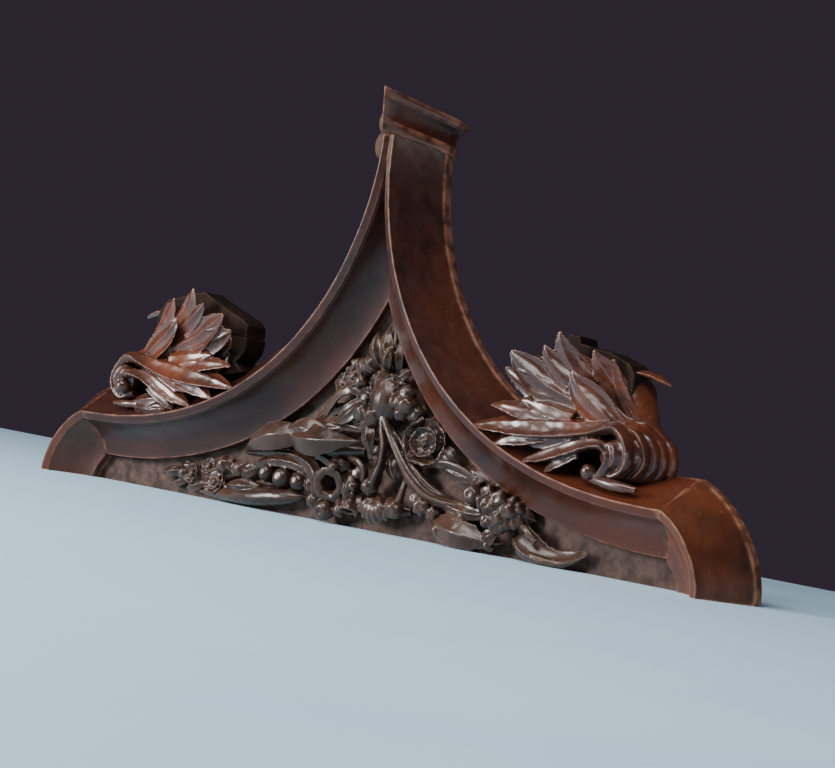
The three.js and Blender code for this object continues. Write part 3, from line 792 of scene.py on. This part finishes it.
    # The body that carries the lobes, and the roll's core under the ribs.
    for rise in (0, 22):
        rows = [(444, 38, 182, 18, 12), (400, 36, 196 + rise * 0.4, 34, 14),
            (350, 34, 206 + rise, 36, 14)]
        rows += [(300, 34, 208 + rise, 28, 10), (272, 34, 210 + rise, 8, 8)]
        blade(clay, rows, (0.1, -1, 0.1), 0.0, 0.0)
    core = [(reach - 30, 6, 156, 16), (reach - 24, 20, 157, 22), (reach - 12, 40, 159, 27),
        (reach - 4, 66, 160, 28)]
    tube(clay, core, 24)
    knob(clay, eye, 11.0, (-0.2, -1, 0), 0.95)
    return clay


def foot_scroll(is_right):
    """Below the volute: a rolled stem end on the right, a two-lobed leaf on the left."""
    clay = Clay()
    if is_right:
        tube(clay, [(412, 14, 124, 6), (438, 9, 121, 7.5), (466, 7, 119, 7), (488, 7, 118, 4)], 18)
    else:
        blade(clay, [(430, 12, 126, 8, 8), (404, 6, 130, 13, 8), (384, 5, 134, 9, 7),
            (368, 6, 136, 1, 4)], (0, -1, 0.4), 0.4)
        blade(clay, [(426, 12, 116, 8, 8), (396, 6, 117, 12, 8), (372, 6, 120, 8, 6),
            (358, 7, 122, 1, 4)], (0, -1, 0), 0.4)
        tube(clay, [(420, 12, 122, 5), (446, 9, 120, 6), (470, 8, 119, 3)], 14)
    return clay


for side, reach, eye, name in ((1, 467.0, (411, 9, 131), "right"), (-1, 484.0, (452, 5, 146), "left")):
    for part, clay in (("leaf", acanthus(reach, eye)), ("foot_leaf", foot_scroll(side > 0))):
        clay = clay if side > 0 else clay.mirror()
        carve(f"walnut_{name}_{part}", clay, f"{name}_acanthus_{part}", CARVED, 2, 0.7)
        if part == "leaf":
            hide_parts(f"{name}_acanthus_volute")


# ---------------------------------------------------------------- bouquet
GROUND = 69.5
FORWARD = (0.05, -1.0, 0.1)


def leaf(clay, root, tip, half, lift=14.0, facing=FORWARD, teeth=(), bend=0.0, **more):
    """A pointed leaf from root to tip that bows forward by lift and sideways by bend."""
    root, tip = np.asarray(root, float), np.asarray(tip, float)
    way = tip - root
    side = unit(np.array((-way[2], 0.0, way[0])))
    rows = []
    for t, w, up in ((0, 0.35, 0.2), (0.22, 0.85, 0.8), (0.48, 1.0, 1.0), (0.74, 0.62, 0.75),
            (0.92, 0.2, 0.3), (1, 0.03, 0)):
        p = root + way * t + side * bend * math.sin(math.pi * t)
        rows.append((p[0], p[1] - lift * up, p[2], half * w, 5 + 3 * (1 - t)))
    options = {"ridge": 0.35, "hollow": 0.25}
    options.update(more)
    blade(clay, rows, facing, teeth=teeth, **options)


def cluster(clay, spots, radius, **more):
    """Knobs of slightly different sizes, each turned a little its own way."""
    for k, (x, depth, z) in enumerate(spots):
        scale = 1 + 0.15 * math.sin(k * 2.4)
        knob(clay, (x, depth, z), radius * scale, (0.3 * math.sin(k), -1, 0.3 * math.cos(k * 1.7)),
            **more)


def spray(clay, name, node_name=None):
    """One piece of the bouquet, flat behind where it lies on the board."""
    carve(f"walnut_{name}", clay, f"bouquet_{node_name or name}", keep_front_of=GROUND)


# Top bud: fat lance leaves that rise into the peak.
top = Clay()
leaf(top, (4, 62, 226), (-10, 56, 279), 12, 14, ridge=0.7)
leaf(top, (22, 60, 228), (8, 58, 289), 13, 14, ridge=0.5)
leaf(top, (20, 54, 222), (26, 46, 258), 10, 10, ridge=0.6)
leaf(top, (36, 60, 222), (28, 60, 270), 10, 8, ridge=0.5)
leaf(top, (-4, 60, 220), (-22, 56, 246), 11, 10, bend=3, ridge=0.5)
leaf(top, (-18, 60, 214), (-34, 58, 240), 11, 8, bend=3)
tube(top, [(10, 68, 282, 6), (14, 66, 258, 13), (14, 66, 232, 17), (12, 66, 216, 12)], 16)
spray(top, "top_bud")

# The flowers at the heart of the upper spray.
heart = Clay()
rosette(heart, (12, 50, 208), 17, 4, (0.1, -1, 0.3), 0.3, 0.7, 0.26, 4, 0.8)
rosette(heart, (38, 46, 204), 17, 4, (0.4, -1, 0.2), 0.3, 1.1, 0.26, 4, 0.8)
rosette(heart, (56, 50, 196), 15, 4, (0.6, -1, 0.1), 0.3, 0.4, 0.26, 4, 0.8)
rosette(heart, (-6, 46, 182), 17, 6, (0, -1, 0.1), 0.35, 0.2, 0.42, 4)
rosette(heart, (22, 42, 176), 15, 6, (0.1, -1, 0.1), 0.35, 0.5, 0.42, 4)
knob(heart, (-8, 42, 161), 15, (-0.2, -1, -0.2), 0.85, 7, 0.09, 0.2)
knob(heart, (14, 42, 158), 14, (0.1, -1, -0.3), 0.9, 7, 0.09, 0.2)
knob(heart, (3, 44, 146), 10, (0.1, -1, -0.3), 0.9, 5, 0.09, 0.2)
cluster(heart, [(66, 46, 196), (72, 42, 180), (64, 42, 168), (82, 52, 170), (54, 44, 184)], 13.0,
    flutes=5, deep=0.09, dimple=0.15)
leaf(heart, (40, 58, 214), (60, 58, 232), 9, 7)
leaf(heart, (-14, 52, 152), (-34, 54, 143), 8, 6)
leaf(heart, (86, 58, 186), (92, 60, 158), 9, 7)
tube(heart, [(6, 66, 224, 12), (20, 62, 204, 24), (28, 60, 182, 30), (22, 62, 160, 24),
    (14, 64, 146, 12)], 20)
spray(heart, "flower_cluster")

# A looped leaf on the left, with a crumpled flower above it.
loop = Clay()
arch = [(-14, 50, 186, 5, 6), (-38, 46, 192, 8, 6), (-62, 48, 182, 9, 6), (-78, 52, 165, 8, 6),
    (-90, 56, 150, 6, 5), (-112, 60, 132, 1, 3)]
blade(loop, arch, (0.1, -1, 0.6), 0.4, 0.2)
leaf(loop, (-8, 52, 184), (-62, 48, 138), 14, 12, bend=5, ridge=0.3, cup=0.2)
leaf(loop, (-50, 62, 168), (-118, 62, 130), 10, 6, bend=-4)
rosette(loop, (-42, 54, 210), 18, 5, (-0.1, -1, 0.3), 0.4, 0.3, 0.3, 4, 0.75)
rosette(loop, (-64, 58, 200), 14, 5, (-0.2, -1, 0.2), 0.4, 0.9, 0.3, 4, 0.75)
knob(loop, (-26, 52, 204), 10, (0.2, -1, 0.3), 0.8, 4, 0.18)
knob(loop, (-46, 60, 228), 9, (0.2, -1, 0.3), 0.8, 4, 0.18)
tube(loop, [(-18, 66, 200, 8), (-40, 66, 208, 12), (-64, 68, 200, 9), (-82, 69, 186, 4)], 16)
spray(loop, "ribbon_loop")

# The large overlapping leaves that sweep to the left, and the long S-shaped one beneath them.
sweep_left = Clay()
leaf(sweep_left, (-112, 60, 116), (-236, 60, 80), 22, 18, bend=-9, ridge=0.2, cup=-0.3)
leaf(sweep_left, (-144, 58, 112), (-6, 44, 121), 23, 20, bend=-4, ridge=0.25, cup=-0.3)
leaf(sweep_left, (-60, 56, 120), (-150, 52, 121), 17, 18, bend=-6, ridge=0.2, cup=-0.3)
leaf(sweep_left, (-190, 64, 112), (-6, 54, 148), 12, 10, bend=-6, ridge=0.3)
leaf(sweep_left, (-96, 60, 140), (14, 52, 134), 10, 8, bend=4, ridge=0.3)
s_leaf = [(-240, 64, 78, 2, 4), (-190, 60, 84, 6, 6), (-140, 56, 86, 9, 8), (-100, 50, 78, 11, 9),
    (-80, 46, 62, 11, 9), (-78, 48, 44, 8, 7), (-70, 54, 30, 3, 5)]
blade(sweep_left, s_leaf, (0.1, -1, 0.3), 0.5, 0.25)
s_leaf = [(-150, 62, 92, 2, 4), (-104, 58, 94, 6, 6), (-66, 52, 88, 8, 7), (-42, 50, 76, 8, 7),
    (-32, 52, 60, 3, 5)]
blade(sweep_left, s_leaf, (0.1, -1, 0.3), 0.5, 0.25)
tube(sweep_left, [(-120, 68, 100, 8), (-80, 66, 104, 14), (-40, 64, 104, 14), (-6, 64, 108, 8)], 16)
spray(sweep_left, "left_leaves")

# The open rose on the right, with leaves about it.
rose = Clay()
rosette(rose, (106, 54, 134), 33, 5, (0.25, -1, 0.05), 0.45, 0.45, 0.2, 5, 0.7)
rosette(rose, (108, 48, 134), 21, 5, (0.25, -1, 0.05), 0.5, 1.0, 0.3, 4, 0.7)
leaf(rose, (92, 58, 148), (86, 54, 176), 13, 9)
leaf(rose, (112, 58, 150), (114, 58, 174), 12, 8)
leaf(rose, (136, 60, 132), (166, 60, 112), 10, 7)
leaf(rose, (118, 58, 112), (160, 58, 110), 9, 7)
leaf(rose, (86, 56, 140), (66, 50, 146), 9, 8)
tube(rose, [(82, 66, 118, 10), (98, 64, 132, 20), (112, 64, 142, 20), (122, 66, 158, 9)], 16)
spray(rose, "right_rose")

# Stems that fall from the heart; two end in buds.
sheaf = Clay()
tube(sheaf, [(26, 42, 166, 3.5), (36, 37, 142, 4), (43, 37, 122, 4.5), (42, 39, 98, 6),
    (35, 41, 80, 8.5), (29, 44, 68, 10)], 16, 3, 0.18)
knob(sheaf, (25, 44, 61), 13, (-0.35, -1, -0.7), 1.0, 10, 0.08, 0.2)
tube(sheaf, [(28, 42, 166, 4), (56, 37, 132, 5), (78, 37, 104, 6), (100, 41, 80, 8), (128, 47, 62, 8),
    (164, 53, 57, 6), (204, 58, 61, 3)], 18, 4, 0.16)
tube(sheaf, [(38, 48, 150, 4), (70, 48, 124, 6), (90, 50, 98, 8), (118, 54, 76, 8), (156, 60, 60, 5)],
    16, 3, 0.2)
tube(sheaf, [(82, 46, 96, 3), (87, 43, 80, 4), (84, 43, 62, 5), (78, 46, 48, 7)], 14, 3, 0.15)
knob(sheaf, (74, 44, 37), 14, (-0.1, -1, -0.55), 0.95, 8, 0.07, 0.3)
leaf(sheaf, (4, 54, 156), (20, 48, 100), 12, 12, ridge=0.5)
leaf(sheaf, (46, 58, 110), (62, 56, 72), 10, 8, ridge=0.5)
rosette(sheaf, (24, 50, 113), 15, 6, (0.1, -1, 0.1), 0.4, 0.2, 0.42, 4)
cluster(sheaf, [(6, 54, 121), (34, 52, 100), (12, 54, 104)], 8, flutes=5, deep=0.1, dimple=0.2)
spray(sheaf, "stem_sheaf")

# The trumpet flower.
horn = Clay()
bell(horn, (-52, 66, 60), (-47, 38, 54), 15, 25, 12.0, 6, 0.04)
leaf(horn, (-26, 58, 84), (-62, 46, 84), 11, 9)
leaf(horn, (-64, 60, 80), (-92, 56, 52), 10, 8, bend=4)
knob(horn, (-42, 38, 79), 8, (0, -1, 0.4), 1.0, 5, 0.12)
leaf(horn, (-20, 58, 80), (-22, 46, 34), 9, 9, bend=5)
tube(horn, [(-30, 56, 96, 4), (-8, 52, 92, 6), (4, 52, 80, 6), (2, 54, 66, 4)], 14, 3, 0.15)
knob(horn, (-8, 52, 76), 9, (0, -1, 0.2), 0.9, 5, 0.12, 0.2)
tube(horn, [(-36, 68, 78, 12), (-24, 66, 62, 16), (-18, 68, 44, 10)], 16)
spray(horn, "trumpet_flower")

# A pod split open over round berries.
berries = Clay()
for x, z, r in ((-177, 54, 12), (-145, 51, 15), (-113, 50, 13)):
    knob(berries, (x, 50, z), r, (0.1, -1, 0.3), 1.0, 0, 0.0, 0.12)
cover = [(-218, 60, 50, 3, 5), (-194, 54, 68, 8, 6), (-152, 50, 75, 9, 6), (-112, 52, 71, 9, 6),
    (-92, 56, 52, 7, 6), (-92, 60, 36, 2, 4)]
blade(berries, cover, (0, -1, 0.3), 0.5, 0.2)
leaf(berries, (-200, 62, 60), (-236, 58, 42), 11, 9)
leaf(berries, (-98, 60, 66), (-88, 54, 34), 10, 9)
leaf(berries, (-150, 64, 40), (-206, 60, 38), 10, 6)
tube(berries, [(-200, 68, 52, 9), (-160, 68, 56, 13), (-120, 68, 54, 12), (-98, 69, 46, 8)], 16)
spray(berries, "left_berries")

# The long pod at the lower left.
pod = Clay()
tube(pod, [(-102, 58, 31, 1.5), (-120, 52, 27, 9), (-150, 50, 23, 13), (-190, 50, 18, 14),
    (-230, 53, 15, 13), (-268, 57, 12, 9), (-318, 62, 9, 2)], 24, 3, 0.04)
leaf(pod, (-186, 50, 32), (-262, 56, 26), 11, 10, ridge=0.5)
leaf(pod, (-226, 58, 12), (-300, 62, 8), 8, 6)
cluster(pod, [(-240, 52, 28), (-224, 50, 32), (-208, 52, 34), (-252, 56, 22)], 7.5, flutes=5, deep=0.1,
    dimple=0.2)
spray(pod, "pod")

# Small roses at the left end.
roses = Clay()
rosette(roses, (-279, 56, 27), 20, 6, (-0.1, -1, 0.2), 0.45, 0.3, 0.36, 4, 0.7)
rosette(roses, (-277, 51, 27), 12, 5, (-0.1, -1, 0.2), 0.45, 0.9, 0.4, 3, 0.7)
rosette(roses, (-331, 58, 33), 16, 5, (-0.2, -1, 0.2), 0.45, 0.3, 0.4, 4, 0.7)
knob(roses, (-268, 54, 55), 13, (0, -1, 0.4), 0.9, 5, 0.14)
rosette(roses, (-300, 58, 48), 13, 5, (0, -1, 0.4), 0.4, 0.5, 0.4, 3, 0.7)
leaf(roses, (-248, 62, 44), (-268, 56, 68), 10, 8)
leaf(roses, (-246, 60, 64), (-224, 58, 40), 12, 10)
leaf(roses, (-306, 62, 22), (-344, 62, 10), 10, 6)
tube(roses, [(-244, 68, 48, 10), (-278, 68, 38, 15), (-310, 68, 34, 12), (-342, 69, 28, 6)], 16)
spray(roses, "left_roses")

# The bud and leaves at the far left.
tip = Clay()
leaf(tip, (-348, 64, 36), (-402, 66, 26), 9, 10, ridge=0.6, cup=-0.2)
leaf(tip, (-340, 66, 24), (-384, 66, 12), 9, 6)
knob(tip, (-352, 60, 32), 10, (-0.3, -1, 0.3), 0.9, 5, 0.12)
leaf(tip, (-336, 66, 44), (-368, 66, 44), 7, 6)
spray(tip, "left_tip")

# Shells, bells and fruit along the lower edge.
lower = Clay()
for k in range(6):
    turn = math.radians(205 + k * 27)
    end = (36 + 27 * math.cos(turn), 50, 36 + 22 * math.sin(turn))
    tube(lower, [(34, 54, 52, 5), (36 + 15 * math.cos(turn), 44, 42 + 12 * math.sin(turn), 7),
        (*end, 6.0)], 14)
bell(lower, (-12, 60, 60), (-8, 44, 22), 9, 14, 5.0, 6, 0.05)
knob(lower, (-8, 46, 58), 9, (0, -1, 0.3), 0.9, 5, 0.12)
knob(lower, (-53, 46, 17), 15, (0, -1, -0.2), 1.0, 4, 0.05, 0.3)
knob(lower, (-30, 50, 20), 10, (0, -1, -0.2), 0.9, 5, 0.12)
knob(lower, (-84, 54, 28), 11, (0, -1, -0.2), 0.9, 5, 0.12)
leaf(lower, (-64, 60, 34), (-88, 56, 14), 8, 7)
knob(lower, (107, 46, 57), 10, (0.1, -1, 0.2), 0.9, 5, 0.14, 0.2)
knob(lower, (120, 46, 47), 13, (0.2, -1, 0), 0.9, 6, 0.14, 0.2)
knob(lower, (137, 50, 40), 10, (0.2, -1, 0), 0.9, 5, 0.14, 0.2)
leaf(lower, (56, 58, 52), (62, 48, 16), 11, 10)
leaf(lower, (0, 58, 50), (4, 50, 14), 9, 8)
tube(lower, [(-30, 68, 30, 8), (10, 66, 34, 14), (50, 66, 34, 14), (88, 69, 36, 6)], 16)
spray(lower, "lower_shells", "bottom_scallops")

# The branch that arches to the right.
branch = Clay()
tube(branch, [(92, 60, 96, 5), (113, 56, 106, 6), (152, 54, 110, 6), (184, 55, 102, 6),
    (202, 57, 88, 5.5), (208, 60, 72, 5)], 16, 3, 0.15)
leaf(branch, (116, 62, 112), (226, 60, 94), 9, 8, bend=-6, ridge=0.4)
leaf(branch, (176, 62, 112), (236, 60, 92), 9, 7, ridge=0.4)
knob(branch, (204, 47, 75), 15, (0.1, -1, 0.1), 1.0, 5, 0.05, 0.2)
leaf(branch, (190, 60, 86), (214, 52, 96), 8, 6)
spray(branch, "right_branch")

# The knobbly bunch on the right.
bunch = Clay()
spots = [(230, 44, 82), (228, 42, 70), (246, 42, 58), (252, 42, 76), (238, 42, 46), (256, 40, 50),
    (270, 44, 62), (266, 44, 44), (282, 50, 50), (252, 46, 38), (270, 50, 74), (240, 40, 66),
    (280, 50, 66)]
cluster(bunch, spots, 11.5, flutes=4, deep=0.12, dimple=0.25, squash=0.9)
leaf(bunch, (272, 60, 68), (306, 60, 54), 12, 8)
leaf(bunch, (276, 60, 50), (304, 60, 40), 10, 7)
leaf(bunch, (222, 58, 88), (250, 60, 96), 9, 6)
tube(bunch, [(208, 62, 76, 10), (236, 58, 64, 22), (262, 58, 56, 22), (288, 64, 50, 10)], 18)
limb = [(134, 58, 58, 4, 7), (160, 52, 54, 9, 9), (190, 50, 50, 11, 9), (216, 50, 50, 8, 8),
    (228, 50, 56, 3, 5)]
blade(bunch, limb, (0.1, -1, 0), 0.5, 0.2)
leaf(bunch, (176, 56, 50), (200, 52, 36), 8, 8)
spray(bunch, "grape_cluster")

# The frilled leaf below it.
frill = Clay()
leaf(frill, (132, 60, 34), (258, 56, 18), 20, 16, bend=-7,
    teeth=[(0.35, 0.25, 0), (0.55, 0.3, 0), (0.75, 0.35, 0)], ridge=0.35, cup=-0.1)
for k in range(6):
    x = 146 + 18 * k
    tube(frill, [(x, 54, 30 - 2 * k, 3), (x + 4, 45, 20 - 1.5 * k, 5), (x + 12, 50, 9 - 0.3 * k, 4)], 12)
leaf(frill, (226, 56, 8), (260, 50, 38), 12, 11)
leaf(frill, (150, 60, 36), (186, 54, 44), 9, 8)
spray(frill, "lower_leaf")

# The long leaf that curls up at the right end.
curl = Clay()
blade(curl, [(270, 60, 34, 7, 8), (290, 48, 36, 15, 8), (312, 44, 24, 17, 8), (340, 48, 15, 13, 8),
    (368, 50, 17, 11, 7), (388, 54, 24, 7, 6), (398, 58, 28, 1, 3)],
    [(0, -1, 0.5), (0, -1, 0.5), (0.2, -1, 0.6), (0, -1, 0.7), (-0.2, -1, 0.7), (-0.3, -1, 0.6),
    (-0.4, -1, 0.4)], 0.1, 0.0, cup=0.3)
tube(curl, [(274, 58, 24, 4), (300, 46, 12, 6), (334, 46, 6, 6), (366, 50, 8, 5), (394, 57, 22, 2)], 14)
tube(curl, [(286, 52, 44, 4), (304, 42, 42, 5.5), (322, 42, 28, 4)], 12)
spray(curl, "curled_leaf")


# ---------------------------------------------------------------- floor, light, camera
def floor_piece():
    """A pale table whose far edge runs a little behind the pediment."""
    corners = [(-6, -9), (9, -9), (9, -0.36), (-6, 1.39)]
    floor = object_from("floor", [(x, y, 0.0) for x, y in corners], [(0, 1, 2, 3)])
    material = bpy.data.materials.new("pale_floor")
    material.use_nodes = True
    tree = material.node_tree
    shader = tree.nodes["Principled BSDF"]
    where = tree.nodes.new("ShaderNodeTexCoord").outputs["Object"]
    weave = node(tree, "ShaderNodeTexNoise", Scale=3.0, Detail=4.0)
    tree.links.new(where, weave.inputs["Vector"])
    tone = ramp(tree, weave.outputs[0], [(0.3, (0.50, 0.76, 0.95)), (0.7, (0.55, 0.80, 0.98))])
    tree.links.new(tone, shader.inputs["Base Color"])
    shader.inputs["Roughness"].default_value = 0.75
    floor.data.materials.append(material)


def area_light(name, place_at, target, size, watts, colour=(1, 1, 1)):
    data = bpy.data.lights.new(name, "AREA")
    data.shape = "RECTANGLE"
    data.size, data.size_y = size
    data.energy = watts
    data.color = colour
    light = bpy.data.objects.new(name, data)
    light.location = place_at
    light.rotation_euler = (Vector(target) - Vector(place_at)).to_track_quat("-Z", "Y").to_euler()
    bpy.context.scene.collection.objects.link(light)


floor_piece()
world = bpy.data.worlds.new("studio")
world.use_nodes = True
world.node_tree.nodes["Background"].inputs[0].default_value = (0.032, 0.023, 0.036, 1)
world.node_tree.nodes["Background"].inputs[1].default_value = 1.0
bpy.context.scene.world = world
area_light("key", (-2.2, -2.7, 0.95), (0, 0, 0.2), (0.8, 1.3), 150, (1.0, 0.97, 0.95))
area_light("fill", (3.0, -1.05, 0.55), (0.2, 0, 0.3), (0.7, 0.7), 6, (1.0, 0.95, 0.92))
area_light("sky", (0.0, -2.4, 3.0), (0, -1.9, 0.0), (3.4, 1.4), 150, (1.0, 0.98, 0.97))

# The camera stands low, in front and to the right, as in the photograph.
camera = bpy.data.objects.new("camera", bpy.data.cameras.new("camera"))
right = Vector((0.7641, 0.6273, 0.1502)).normalized()
ahead = Vector((-0.6358, 0.7718, 0.0111)).normalized()
right = (right - ahead * right.dot(ahead)).normalized()
up = right.cross(ahead)
turned = Matrix((right, up, -ahead)).transposed().to_4x4()
camera.matrix_world = Matrix.Translation((2.1344, -2.5234, 0.1760)) @ turned
camera.data.lens = 101.4
camera.data.sensor_width = 36
camera.data.clip_end = 50
bpy.context.scene.collection.objects.link(camera)
bpy.context.scene.camera = camera
